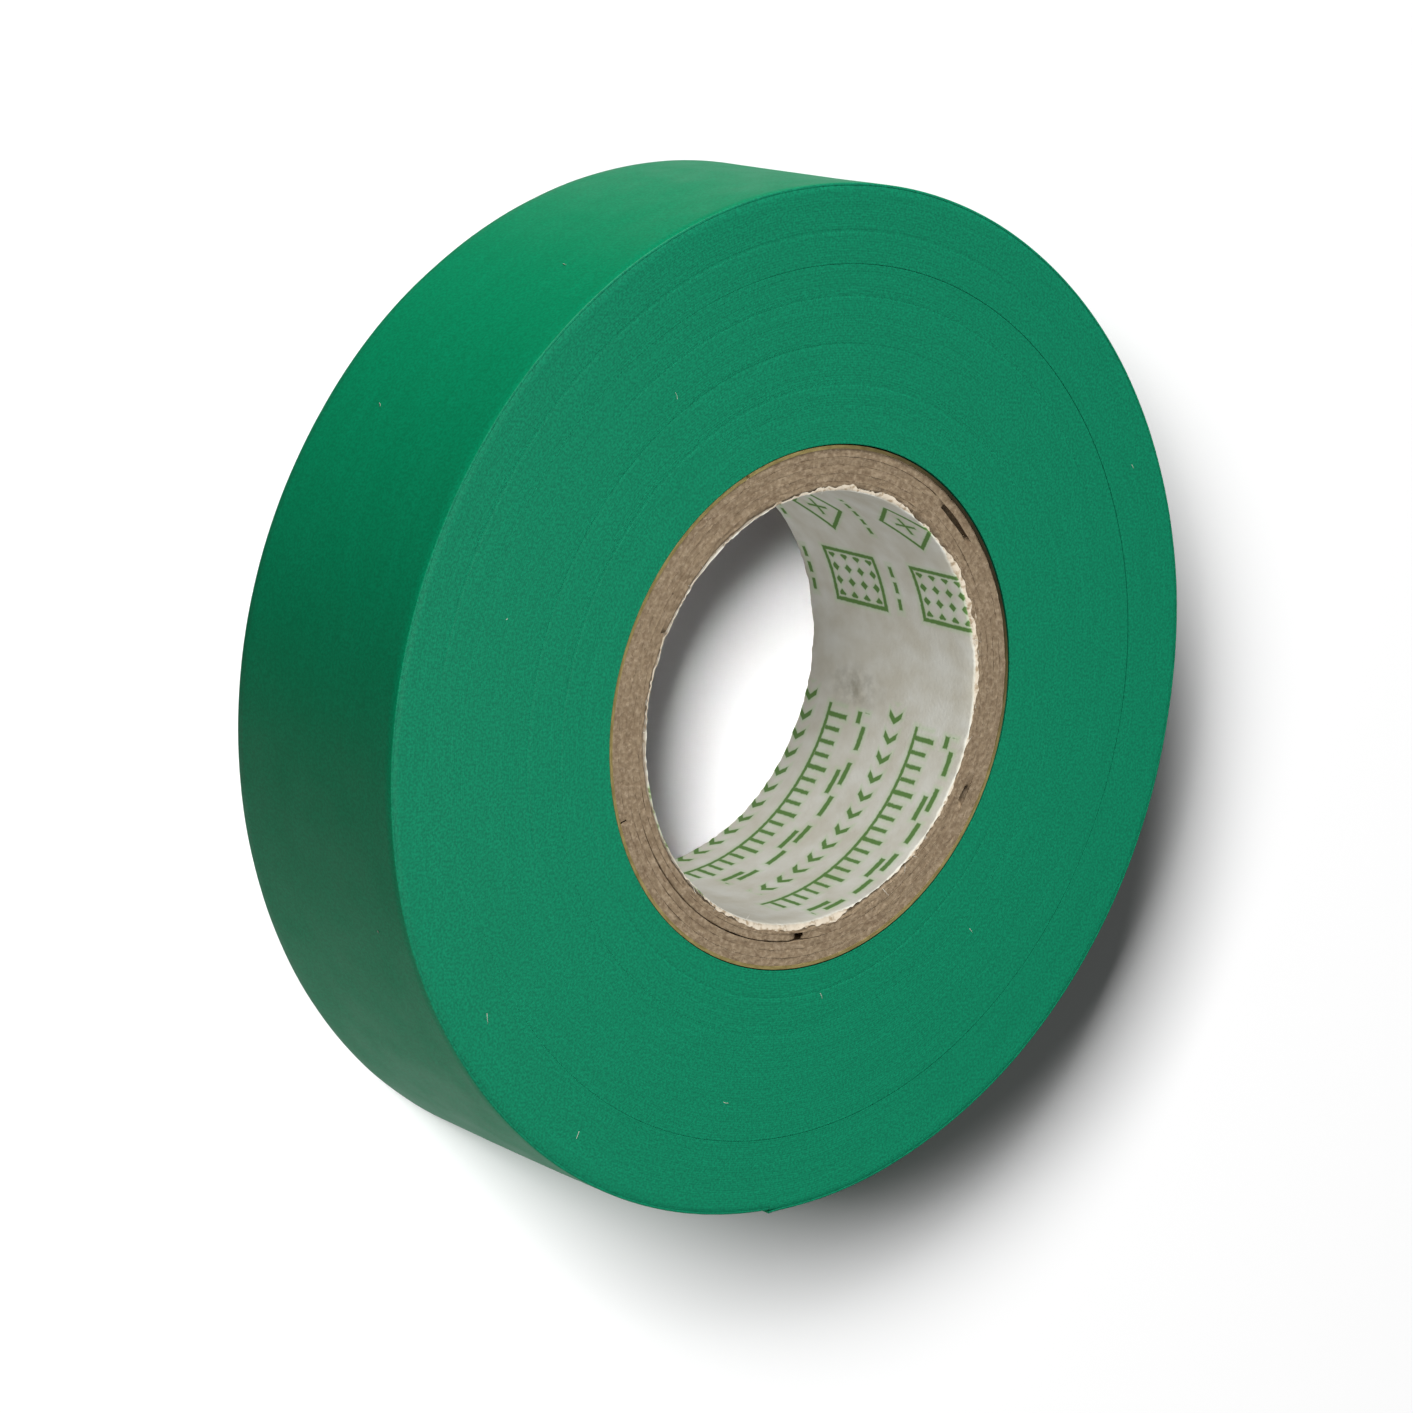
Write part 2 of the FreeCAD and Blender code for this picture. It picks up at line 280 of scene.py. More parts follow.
def make_hairs(
    name: str, root: Array, heading: Array, bend: Array, length: Array, thickness: float, finish: Material,
    stations: int = 7, sides: int = 5, taper: float = 0.7,
) -> Piece:
    """Make loose fibres: a five-sided tube along root + heading t + bend t^2, thinner towards its tip.

    Args:
        name: the piece's name.
        root: where each fibre starts, in mm.
        heading: each fibre's first direction.
        bend: how far its tip is carried sideways, as a direction times mm.
        length: each fibre's length in mm.
        thickness: diameter at the root in mm.
        finish: the material.
        stations: rings of points along a fibre.
        sides: points in a ring.
        taper: share of the thickness that is lost at the tip.

    Returns:
        One object with all the fibres.
    """
    t = np.linspace(0, 1, stations)[None, :, None]
    heading = heading / np.linalg.norm(heading, axis=1, keepdims=True)
    line = root[:, None] + heading[:, None] * length[:, None, None] * t + bend[:, None] * t**2
    upright = np.abs(heading[:, 2:]) >= 0.8
    side = np.cross(heading, np.where(upright, [[1.0, 0.0, 0.0]], [[0.0, 0.0, 1.0]]))
    side /= np.linalg.norm(side, axis=1, keepdims=True)
    other = np.cross(heading, side)
    spin = (np.arange(sides) * 2 * math.pi / sides)[None, None, :, None]
    ring = side[:, None, None] * np.cos(spin) + other[:, None, None] * np.sin(spin)
    points = line[:, :, None] + ring * (thickness / 2 * (1 - taper * t))[..., None]
    index = np.arange(points[..., 0].size).reshape(points.shape[:3])
    after = np.roll(index, -1, axis=2)
    quads = np.stack([index[:, :-1], after[:, :-1], after[:, 1:], index[:, 1:]], -1).reshape(-1, 4)
    caps = index[:, 0, ::-1].tolist() + index[:, -1].tolist()
    return add_piece(name, points.reshape(-1, 3), quads.tolist() + caps, [finish])


# ---------------------------------------------------------------- finishes


def linear(code: str) -> tuple[float, float, float, float]:
    """Turn an sRGB hex value into a linear colour with an alpha of one."""
    parts = [int(code[i:i + 2], 16) / 255 for i in (0, 2, 4)]
    light = [p / 12.92 if p <= 0.04045 else ((p + 0.055) / 1.055) ** 2.4 for p in parts]
    return (*light, 1.0)


def add_node(tree: Tree, kind: Kind | Sum, *values: Any, **settings: Any) -> Socket:
    """Add a node with its settings and links.

    Args:
        tree: the node tree.
        kind: the node's kind, or an arithmetic step.
        values: for each of the kind's inputs in order, a value, an output to link, or None to leave it.
        settings: the node's own properties.

    Returns:
        The kind's usual output.
    """
    name, inputs, output = ("ShaderNodeMath", (0, 1, 2), 0) if isinstance(kind, Sum) else kind.value
    node = tree.nodes.new(name)
    if isinstance(kind, Sum):
        node.operation = kind.value
    if kind is Kind.MIX:
        node.data_type = "RGBA"
    for key, value in settings.items():
        setattr(node, key, value)
    for key, value in zip(inputs, values):
        if isinstance(value, Socket):
            tree.links.new(value, node.inputs[key])
        elif value is not None:
            node.inputs[key].default_value = value
    return node.outputs[output]


@dataclass(frozen=True)
class Finish:
    """A finish of one material, dressed on a Principled shader.

    None is a metal. Soft PVC, cellulose and cotton all have an IOR near 1.5, the shader's own.
    """

    name: str

    def build(self) -> Material:
        """Make the material."""
        material = bpy.data.materials.new(self.name)
        material.use_nodes = True
        tree = material.node_tree
        shader = tree.nodes["Principled BSDF"]
        for key, value in self.surface(tree).items():
            if isinstance(value, Socket):
                tree.links.new(value, shader.inputs[key])
            else:
                shader.inputs[key].default_value = value
        return material

    def surface(self, tree: Tree) -> dict[str, Any]:
        """Work out what each input of the shader is given."""
        raise NotImplementedError

    def tint(
        self, tree: Tree, colour: Any, tone: str, pattern: Socket, span: tuple[float, float],
        share: tuple[float, float],
    ) -> Socket:
        """Lay a tone over a colour, by a share that changes across a span of a pattern.

        Args:
            tree: the material's node tree.
            colour: the colour under it, as an output or an sRGB hex value.
            tone: the sRGB hex value of the tone.
            pattern: the output that says where the tone lies.
            span: values of the pattern between which the share changes.
            share: how much of the tone shows at each end of the span.

        Returns:
            The new colour.
        """
        under = linear(colour) if isinstance(colour, str) else colour
        amount = add_node(tree, Kind.RANGE, pattern, *span, *share)
        return add_node(tree, Kind.MIX, amount, under, linear(tone))


@dataclass(frozen=True)
class Rings:
    """Coordinates of a ring in mm, worked out from Object coordinates."""

    tree: Tree
    radius: Socket
    east: Socket
    north: Socket
    height: Socket

    @classmethod
    def of(cls, tree: Tree) -> Rings:
        """Split Object coordinates into radius, the two parts of the direction, and height."""
        place = add_node(tree, Kind.VECTOR, add_node(tree, Kind.PLACE), (METRE,) * 3, operation="MULTIPLY")
        x, y, z = add_node(tree, Kind.SPLIT, place).node.outputs
        radius = add_node(tree, Kind.LENGTH, add_node(tree, Kind.JOIN, x, y), operation="LENGTH")
        return cls(tree, radius, add_node(tree, Sum.DIVIDE, x, radius),
                   add_node(tree, Sum.DIVIDE, y, radius), z)

    def streaks(self, around: float, across: float, upright: float, detail: float) -> Socket:
        """Noise drawn out round the ring.

        Args:
            around: noise cells in a radian.
            across: a cell's size in mm along the radius.
            upright: a cell's size in mm along the height.
            detail: octaves of the noise.

        Returns:
            The noise, about 0.5.
        """
        place = add_node(
            self.tree, Kind.JOIN,
            add_node(self.tree, Sum.MULTIPLY, self.east, around),
            add_node(self.tree, Sum.MULTIPLY, self.north, around),
            add_node(self.tree, Sum.MULTIPLY_ADD, self.radius, 1 / across,
                     add_node(self.tree, Sum.DIVIDE, self.height, upright)),
        )
        return add_node(self.tree, Kind.NOISE, place, 1.0, detail, 0.55)


def specks(tree: Tree, size: float, detail: float = 2.0) -> Socket:
    """Noise on Object coordinates with cells of a size in mm."""
    return add_node(tree, Kind.NOISE, add_node(tree, Kind.PLACE), METRE / size, detail, 0.5)


@dataclass(frozen=True)
class SlitFilmEdges(Finish):
    """Calendered PVC film cut by a razor: packed edges of many turns, matt, with faint pale rings."""

    name: str = "pvc_film_slit_edges"
    body: str = "088A63"
    pale: str = "0C9068"
    deep: str = "06855E"
    grain: str = "066E50"

    def surface(self, tree: Tree) -> dict[str, Any]:
        """Rings two turns wide, slow bands and a fine grain."""
        rings = Rings.of(tree)
        # One turn is 0.18 mm, too fine to show, so the rings are drawn two turns wide.
        turns = rings.streaks(around=5.0, across=0.36, upright=9.0, detail=3.0)
        bands = rings.streaks(around=1.6, across=2.6, upright=9.0, detail=1.0)
        # The film's own grain is under 0.1 mm, too fine to show, so it is drawn 0.19 mm across.
        grain = specks(tree, 0.19, 1.0)
        colour = self.tint(tree, self.deep, self.pale, turns, (0.35, 0.68), (0.0, 1.0))
        colour = self.tint(tree, colour, self.body, bands, (0.3, 0.7), (0.35, 0.8))
        colour = self.tint(tree, colour, self.grain, grain, (0.34, 0.66), (0.0, 0.78))
        cuts = add_node(tree, Kind.BUMP, turns, 0.00003, 0.14)
        return {
            "Base Color": colour, "Roughness": 0.6, "Specular IOR Level": 0.2,
            "Normal": add_node(tree, Kind.BUMP, grain, 0.00003, 0.2, cuts),
        }


@dataclass(frozen=True)
class SatinFilm(Finish):
    """Calendered plasticised PVC film: an even green with a soft satin sheen and a very fine matt grain."""

    name: str = "pvc_film_satin"
    body: str = "009061"
    pale: str = "039869"
    grain: str = "007A50"

    def surface(self, tree: Tree) -> dict[str, Any]:
        """Faint marks drawn out along the tape, soft clouds in the gloss and a fine grain."""
        drawn = Rings.of(tree).streaks(around=7.0, across=8.0, upright=1.1, detail=2.0)
        # The grain is drawn 0.19 mm across here too, since the real one is too fine to show.
        clouds, grain = specks(tree, 3.5, 3.0), specks(tree, 0.19, 1.0)
        colour = self.tint(tree, self.body, self.pale, drawn, (0.35, 0.7), (0.0, 0.55))
        colour = self.tint(tree, colour, self.grain, grain, (0.34, 0.66), (0.0, 0.7))
        soft = add_node(tree, Kind.BUMP, clouds, 0.00004, 0.3)
        return {
            "Base Color": colour,
            "Roughness": add_node(tree, Kind.RANGE, clouds, 0.3, 0.7, 0.38, 0.47),
            "Specular IOR Level": 0.18,
            "Normal": add_node(tree, Kind.BUMP, grain, 0.00002, 0.22, soft),
        }


@dataclass(frozen=True)
class Chipboard(Finish):
    """Grey-brown recycled board, saw cut: felted fibres round the tube, pale flecks and dark specks."""

    name: str = "recycled_chipboard"
    body: str = "98866D"
    pale: str = "B3A088"
    deep: str = "786550"
    speck: str = "4B3A2A"

    def surface(self, tree: Tree) -> dict[str, Any]:
        """Felted fibres about 0.7 mm long, over blotches, with flecks and specks of other pulp."""
        rings = Rings.of(tree)
        # Pulp fibres are 0.03 mm wide, too fine to show, so bundles of them 0.26 mm wide are drawn.
        fibres = rings.streaks(around=26.0, across=0.26, upright=0.9, detail=5.0)
        felt = specks(tree, 0.34, 4.0)
        flecks = rings.streaks(around=44.0, across=0.3, upright=0.6, detail=2.0)
        dirt = rings.streaks(around=30.0, across=0.2, upright=0.5, detail=3.0)
        colour = self.deep
        for tone, pattern, span, most in (
            (self.body, fibres, (0.3, 0.68), 1.0),
            (self.body, specks(tree, 1.6, 3.0), (0.35, 0.7), 0.55),
            (self.pale, felt, (0.5, 0.72), 0.6),
            (self.deep, felt, (0.48, 0.3), 0.5),
            (self.pale, flecks, (0.62, 0.74), 0.6),
            (self.speck, dirt, (0.67, 0.78), 0.8),
        ):
            colour = self.tint(tree, colour, tone, pattern, span, (0.0, most))
        nap = add_node(tree, Kind.BUMP, fibres, 0.00008, 0.5)
        return {
            "Base Color": colour, "Roughness": 0.93, "Specular IOR Level": 0.15,
            "Normal": add_node(tree, Kind.BUMP, felt, 0.00012, 0.6, nap),
        }


@dataclass(frozen=True)
class WrapPaper(Finish):
    """Thin tan kraft paper round the core, slightly yellow where the glue soaked through."""

    name: str = "tan_kraft_wrap"
    body: str = "998A58"
    deep: str = "7A6C40"
    painted_shade: str = "171209"
    painted_shade_side: float = 42.0

    def surface(self, tree: Tree) -> dict[str, Any]:
        """Short fibres drawn out round the core, with painted shade towards one side, where the core stands
        away from the tape.
        """
        rings = Rings.of(tree)
        # Bundles 0.2 mm wide stand for kraft fibres, which are too fine to show.
        fibres = rings.streaks(around=22.0, across=0.2, upright=1.2, detail=3.0)
        colour = self.tint(tree, self.deep, self.body, fibres, (0.35, 0.65), (0.0, 1.0))
        # Painted shade: the paper is darkened towards one side, standing in for the shade in the gap
        # between the core and the tape.
        turn = math.radians(self.painted_shade_side)
        toward = add_node(tree, Sum.MULTIPLY_ADD, rings.east, math.cos(turn),
                          add_node(tree, Sum.MULTIPLY, rings.north, math.sin(turn)))
        colour = self.tint(tree, colour, self.painted_shade, toward, (0.55, 0.97), (0.0, 0.92))
        return {
            "Base Color": colour, "Roughness": 0.85, "Specular IOR Level": 0.2,
            "Normal": add_node(tree, Kind.BUMP, fibres, 0.00005, 0.4),
        }


@dataclass(frozen=True)
class LintFibre(Finish):
    """Loose cotton and paper fibres: matt off-white threads that catch the light."""

    name: str = "pale_lint_fibre"
    body: str = "E4E2DA"
    deep: str = "B9B39F"

    def surface(self, tree: Tree) -> dict[str, Any]:
        """A slight change of tone along the threads."""
        colour = self.tint(tree, self.deep, self.body, specks(tree, 0.3), (0.0, 1.0), (0.0, 1.0))
        return {"Base Color": colour, "Roughness": 0.9, "Specular IOR Level": 0.2}


@dataclass(frozen=True)
class PaperSweep(Finish):
    """Matt white studio paper: an even, almost white ground without a sheen."""

    name: str = "matt_white_paper_sweep"
    body: str = "F6F6F6"

    def surface(self, tree: Tree) -> dict[str, Any]:
        """One even tone."""
        return {"Base Color": linear(self.body), "Roughness": 0.9}


@dataclass(frozen=True)
class PrintedLiner(Finish):
    """Bleached liner paper with generic marks in soft-edged green ink, and felted fibre where torn."""

    name: str = "bleached_liner_paper_printed"
    paper: str = "D8D7CD"
    shade: str = "C9C5B6"
    torn: str = "C2B7A5"
    stain: str = "8F7C62"
    smudge: str = "8D8878"
    ink: str = "4F7A30"
    halo: str = "B4CFA0"
    bore: float = 16.5
    repeat_up: float = 10.1
    smudge_angle: float = -3.0
    smudge_height: float = 5.6
    smudge_size: float = 2.4

    def surface(self, tree: Tree) -> dict[str, Any]:
        """Paper, a smudge, the marks with their bled halo, and the torn edge with chips of board."""
        rings = Rings.of(tree)
        # Felt 0.28 mm across stands for fibres that are too fine to show.
        felt = specks(tree, 0.28, 3.0)
        colour = self.tint(tree, self.shade, self.paper, specks(tree, 2.2, 3.0), (0.32, 0.7), (0.0, 1.0))
        colour = add_node(tree, Kind.MIX, self.soiling(tree, rings), colour, linear(self.smudge))
        depth = self.marks(tree, felt)
        colour = self.tint(tree, colour, self.halo, depth, (-0.42, 0.0), (0.0, 0.5))
        colour = self.tint(tree, colour, self.ink, depth, (-0.05, 0.06), (0.0, 0.92))
        ragged = add_node(tree, Sum.MULTIPLY_ADD, felt, 0.12, rings.radius)
        tear = add_node(tree, Kind.RANGE, ragged, self.bore + 0.13, self.bore + 0.2, 0.0, 1.0)
        colour = add_node(tree, Kind.MIX, tear, colour, linear(self.torn))
        chips = add_node(tree, Kind.RANGE, specks(tree, 0.5, 3.0), 0.5, 0.64, 0.0, 0.85)
        chips = add_node(tree, Sum.MULTIPLY, chips, tear)
        colour = add_node(tree, Kind.MIX, chips, colour, linear(self.stain))
        return {
            "Base Color": colour, "Roughness": 0.8, "Specular IOR Level": 0.25,
            "Normal": add_node(tree, Kind.BUMP, felt, 0.00006, 0.35),
        }

    def soiling(self, tree: Tree, rings: Rings) -> Socket:
        """Share of the soft smudge about a point of the bore, broken up by noise and squeezed upright."""
        turn, squeeze = math.radians(self.smudge_angle), 0.6 / self.bore
        place = add_node(tree, Kind.JOIN, rings.east, rings.north,
                         add_node(tree, Sum.MULTIPLY, rings.height, squeeze))
        centre = (math.cos(turn), math.sin(turn), self.smudge_height * squeeze)
        offset = add_node(tree, Kind.VECTOR, place, centre, operation="SUBTRACT")
        distance = add_node(tree, Kind.LENGTH, offset, operation="LENGTH")
        near = add_node(tree, Kind.RANGE, distance, 0.0, self.smudge_size / self.bore, 1.0, 0.0)
        cloud = add_node(tree, Kind.RANGE, specks(tree, 1.0, 3.0), 0.42, 0.68, 0.0, 0.75)
        return add_node(tree, Sum.MULTIPLY, near, cloud)

    def marks(self, tree: Tree, felt: Socket) -> Socket:
        """Depth inside the printed marks in mm, above zero on ink.

        The print repeats twice round the bore and every 10.1 mm up it. Each repeat has ruler ticks, two
        rows of dashes, chevrons, a framed grid of dots and a diamond with a plus sign, with short bars
        under the last two.
        """
        add = partial(add_node, tree)
        u, v, _ = add(Kind.SPLIT, add(Kind.UV, uv_map="mm")).node.outputs
        u = add(Sum.MODULO, add(Sum.ADD, u, math.pi * self.bore / 2), math.pi * self.bore)
        v = add(Sum.MODULO, add(Sum.ADD, v, 0.3), self.repeat_up)

        def off(value: Socket, centre: float) -> Socket:
            """Distance of a coordinate from a centre line."""
            return add(Sum.ABSOLUTE, add(Sum.SUBTRACT, value, centre))

        def box(centre: tuple[float, float], half: tuple[float, float]) -> Socket:
            """Depth inside an upright box."""
            return add(Sum.MINIMUM, add(Sum.SUBTRACT, half[0], off(u, centre[0])),
                       add(Sum.SUBTRACT, half[1], off(v, centre[1])))

        def rows(pitch: float, half: float, shift: Any = 0.0) -> Socket:
            """Depth inside upright bars of a pitch, moved along by a shift."""
            return add(Sum.SUBTRACT, half, add(Sum.PINGPONG, add(Sum.ADD, u, shift), pitch / 2))

        def both(*depths: Socket) -> Socket:
            """Depth inside every one of some shapes."""
            least = depths[0]
            for depth in depths[1:]:
                least = add(Sum.MINIMUM, least, depth)
            return least

        def outline(depth: Socket, half: float) -> Socket:
            """Depth inside a line drawn along a shape's edge."""
            return add(Sum.SUBTRACT, half, add(Sum.ABSOLUTE, depth))

        frame, diamond = (34.6, 6.65), (42.3, 6.6)
        slant = add(Sum.MULTIPLY, off(v, 0.95), -0.8)
        steep = add(Sum.SUBTRACT, 2.7, add(Sum.ADD, off(u, diamond[0]), off(v, diamond[1])))
        dots = add(Sum.PINGPONG, add(Sum.SUBTRACT, u, frame[0]), 0.62)
        lines = add(Sum.PINGPONG, add(Sum.SUBTRACT, v, frame[1]), 0.72)
        shapes = [
            # ruler: short ticks, long ticks and the line under them
            both(rows(1.15, 0.18), box((13.2, 4.5), (10.6, 0.85))),
            both(rows(4.6, 0.21), box((13.2, 4.6), (10.6, 1.15))),
            box((13.2, 3.55), (10.7, 0.17)),
            # two rows of dashes
            both(rows(3.1, 1.0), box((13.9, 7.9), (9.9, 0.25))),
            both(rows(6.2, 1.1, 0.9), box((13.9, 7.1), (9.9, 0.25))),
            # chevrons
            both(rows(1.7, 0.27, slant), box((14.6, 0.95), (10.4, 0.72))),
            # frame and its grid of dots
            outline(box(frame, (2.35, 2.85)), 0.19),
            both(box(frame, (2.0, 2.5)), add(Sum.SUBTRACT, add(Sum.ADD, dots, lines), 0.92)),
            # diamond and its plus sign
            outline(steep, 0.26),
            both(steep, add(Sum.MAXIMUM, box(diamond, (1.1, 0.16)), box(diamond, (0.16, 1.1)))),
            # bars under the frame and the diamond
            both(rows(1.5, 0.5), box((34.5, 1.15), (2.2, 0.2))),
            both(rows(1.1, 0.36, 0.4), box((42.2, 1.15), (2.4, 0.2))),
        ]
        depth = shapes[0]
        for shape in shapes[1:]:
            depth = add(Sum.MAXIMUM, depth, shape)
        return add(Sum.MULTIPLY_ADD, add(Sum.SUBTRACT, felt, 0.5), 0.16, depth)


# ---------------------------------------------------------------- sizes


@dataclass(frozen=True)
class Circle:
    """Circle in the plane of the roll, with its centre on the X axis, in mm."""

    radius: float
    centre: float = 0.0

    def reach(self, angle: Array) -> Array:
        """Distance from the bore's axis to the circle: c cos a + sqrt(r^2 - (c sin a)^2)."""
        turn = np.radians(angle)
        return self.centre * np.cos(turn) + np.sqrt(self.radius**2 - (self.centre * np.sin(turn)) ** 2)


@dataclass(frozen=True)
class Spiral:
    """Outside of the roll, or of a turn under it: half circles that grow by one film in a turn."""

    radius: float
    film: float
    tip: float

    def reach(self, angle: Array) -> Array:
        """Distance to the spiral, greatest at the tip and one film less a full turn about +Z further on.

        The wide half is R - d + d cos a and the narrow half R - 3d - d cos a, where a is the angle from
        the tip and d is a quarter of the film's thickness.
        """
        local = np.where(angle == self.tip + 360, 360.0, (angle - self.tip) % 360)
        drift = self.film / 4
        wave = drift * np.cos(np.radians(local))
        return np.where(local <= 180, self.radius - drift + wave, self.radius - 3 * drift - wave)


@dataclass(frozen=True)
class RollSizes:
    """Sizes of the roll in mm, read from the frame."""

    width: float
    bore: float
    plies: tuple[float, ...]
    inner_winding: tuple[Circle, Circle]
    middle_winding: tuple[Circle, Circle]
    outer_inside: Circle
    outside: Spiral
    piece_angle: float
    film: float = FILM
    tension_gap: float = 0.066

    @classmethod
    def from_frame(cls, frame: dict[str, Any]) -> RollSizes:
        """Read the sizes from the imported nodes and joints.


        Returns:
            The sizes of this roll.
        """

        def circle(node: str) -> Circle:
            """The outside circle of a node."""
            low, high = (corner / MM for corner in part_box(node))
            return Circle((high.x - low.x) / 2, (high.x + low.x) / 2)

        first, inner, middle = map(circle, ("tape_first_turn", "tape_inner_winding", "tape_middle_winding"))
        hinges = [joint["pos_m"] for joint in frame["joints"]]
        angles = [math.degrees(math.atan2(place[1], place[0])) % 360 for place in hinges]
        step = (angles[0] - angles[-1]) / (len(angles) - 1)
        tip = round(angles[-1] - step, 1)
        reach = -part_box("tape_end_5")[0].y / MM / math.cos(math.radians(tip - 270))
        gap = cls.tension_gap / 2
        return cls(
            width=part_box("tape_middle_winding")[1].z / MM,
            bore=frame["record"]["mounts"][0]["dims"]["r_mm"],
            plies=(circle("core_liner").radius, *(circle(f"core_ply_{ply}").radius for ply in range(1, 6))),
            inner_winding=(first, inner),
            middle_winding=(inner, middle),
            outer_inside=Circle(middle.radius + gap, middle.centre + gap),
            outside=Spiral(reach, cls.film, tip),
            piece_angle=step,
        )


# ---------------------------------------------------------------- the tape


@dataclass
class FilmSurface:
    """How the outside departs from a true spiral, in mm: the film sinks between soft turns under it."""

    sink: float = 0.055
    long_wave: float = 0.04
    short_wave: float = 0.012
    rim_drop: float = 0.11
    rim_width: float = 0.34

    def wave(self, angle: Array, height: Array, width: float) -> Array:
        """Radius to add to the spiral, never above zero: long waves and short waves, less the sink."""
        share, along = angle / 360, height / width
        long_waves = self.long_wave * relief(share, along, (23, 3), 11)
        return long_waves + self.short_wave * relief(share, along, (71, 2), 12) - self.sink

    def rim(self, depth: Array) -> Array:
        """Rounding of the rim at a distance inside the roll's outside: drop exp(-(depth / width)^2)."""
        return self.rim_drop * np.exp(-((depth / self.rim_width) ** 2))


@dataclass
class Winding:
    """Many turns of tape as one ring, with every turn's edge on both faces.

    Each turn's edge lies a little higher or lower than the next, by a height that wanders round the
    roll, and the turns meet in shallow grooves. A point's radius is near + (far - near) turn / turns,
    between the winding's two sides.
    """

    name: str
    inside: Circle
    outside: Circle | Spiral
    width: float
    turns: int
    seed: int
    columns: int = 256
    # Depths in mm: the groove between turns, the unevenness of single turns and of bands of turns, how far
    # a lone turn stands proud, and a line between turns that have slipped.
    groove: float = 0.008
    single: float = 0.004
    band: float = 0.009
    proud: float = 0.009
    lone_share: float = 0.12
    line: float = 0.022
    line_width: float = 0.6
    wall_rows: int = 10
    lines: tuple[tuple[float, float, float], ...] = ()
    skin: FilmSurface | None = None

    def build(self, finish: Material) -> Piece:
        """Make the ring.

        Args:
            finish: the material of slit edges.

        Returns:
            The new piece.
        """
        angle = self.angles()
        marks = (np.arange(self.turns)[:, None] + np.array(TURN_MARKS)).ravel()
        marks = np.append(marks, self.turns)[:, None]
        share = marks / self.turns
        near, far = self.inside.reach(angle), self.outside.reach(angle)
        radius = near + (far - near) * share
        front = self.width - self.depths(angle, marks, self.seed, far - radius)
        back = self.depths(angle, marks, self.seed + 50, far - radius)
        steps = np.linspace(0, 1, self.wall_rows + 2)[1:-1, None]
        outer = front[-1] + (back[-1] - front[-1]) * steps
        inner = back[0] + (front[0] - back[0]) * steps
        radii = np.concatenate([radius, radius[-1:] + 0 * outer, radius[::-1], radius[:1] + 0 * inner])
        heights = np.concatenate([front, outer, back[::-1], inner])
        if self.skin is not None:
            reach = (radii - near) / (far - near)
            radii = radii + reach**4 * self.skin.wave(angle + 0 * radii, heights, self.width)
        return carry_round(self.name, radii, angle + 0 * radii, heights, True, [finish])

    def angles(self) -> Array:
        """Angles of the columns, with the step at a spiral's tip kept steep."""
        angle = np.arange(self.columns) * 360 / self.columns
        if isinstance(self.outside, Spiral):
            tip = self.outside.tip
            clear = angle[np.abs(angle - tip) > 0.4]
            angle = np.unique(np.append(clear, [tip - 0.3, tip - 0.05, tip, tip + 0.3]))
        return angle[None]

    def depths(self, angle: Array, marks: Array, seed: int, inset: Array) -> Array:
        """Depth of each point of a face below the roll's width, in mm: the sum of all its unevenness.

        Args:
            angle: angles of the columns.
            marks: places across the winding in turns; whole numbers are the grooves.
            seed: seed of the heights.
            inset: distance of each point from the winding's outside.

        Returns:
            Depths, from zero up.
        """
        turn, around = np.floor(marks - 1e-6) + 0.5, angle / 360 + 0 * marks
        along = (turn / self.turns) + 0 * angle
        draw = np.random.default_rng(seed + 7).random(self.turns + 1)
        lone = draw[np.floor(turn).astype(int)] > 1 - self.lone_share
        depth = self.single * relief(around, along, (13, self.turns), seed)
        depth += self.band * relief(around, along, (5, max(self.turns // 6, 2)), seed + 1)
        depth -= self.proud * lone * np.maximum(relief(around, along, (7, self.turns), seed + 2), 0)
        depth += np.where(marks % 1 == 0, self.groove, 0.0)
        for place, first, last in self.lines:
            close = np.exp(-(((marks / self.turns - place) * self.turns / self.line_width) ** 2))
            depth += self.line * close * window(angle, first, last, 12)
        depth = depth + self.single + self.band + self.proud
        return depth + (self.skin.rim(inset + FILM) if self.skin else 0)


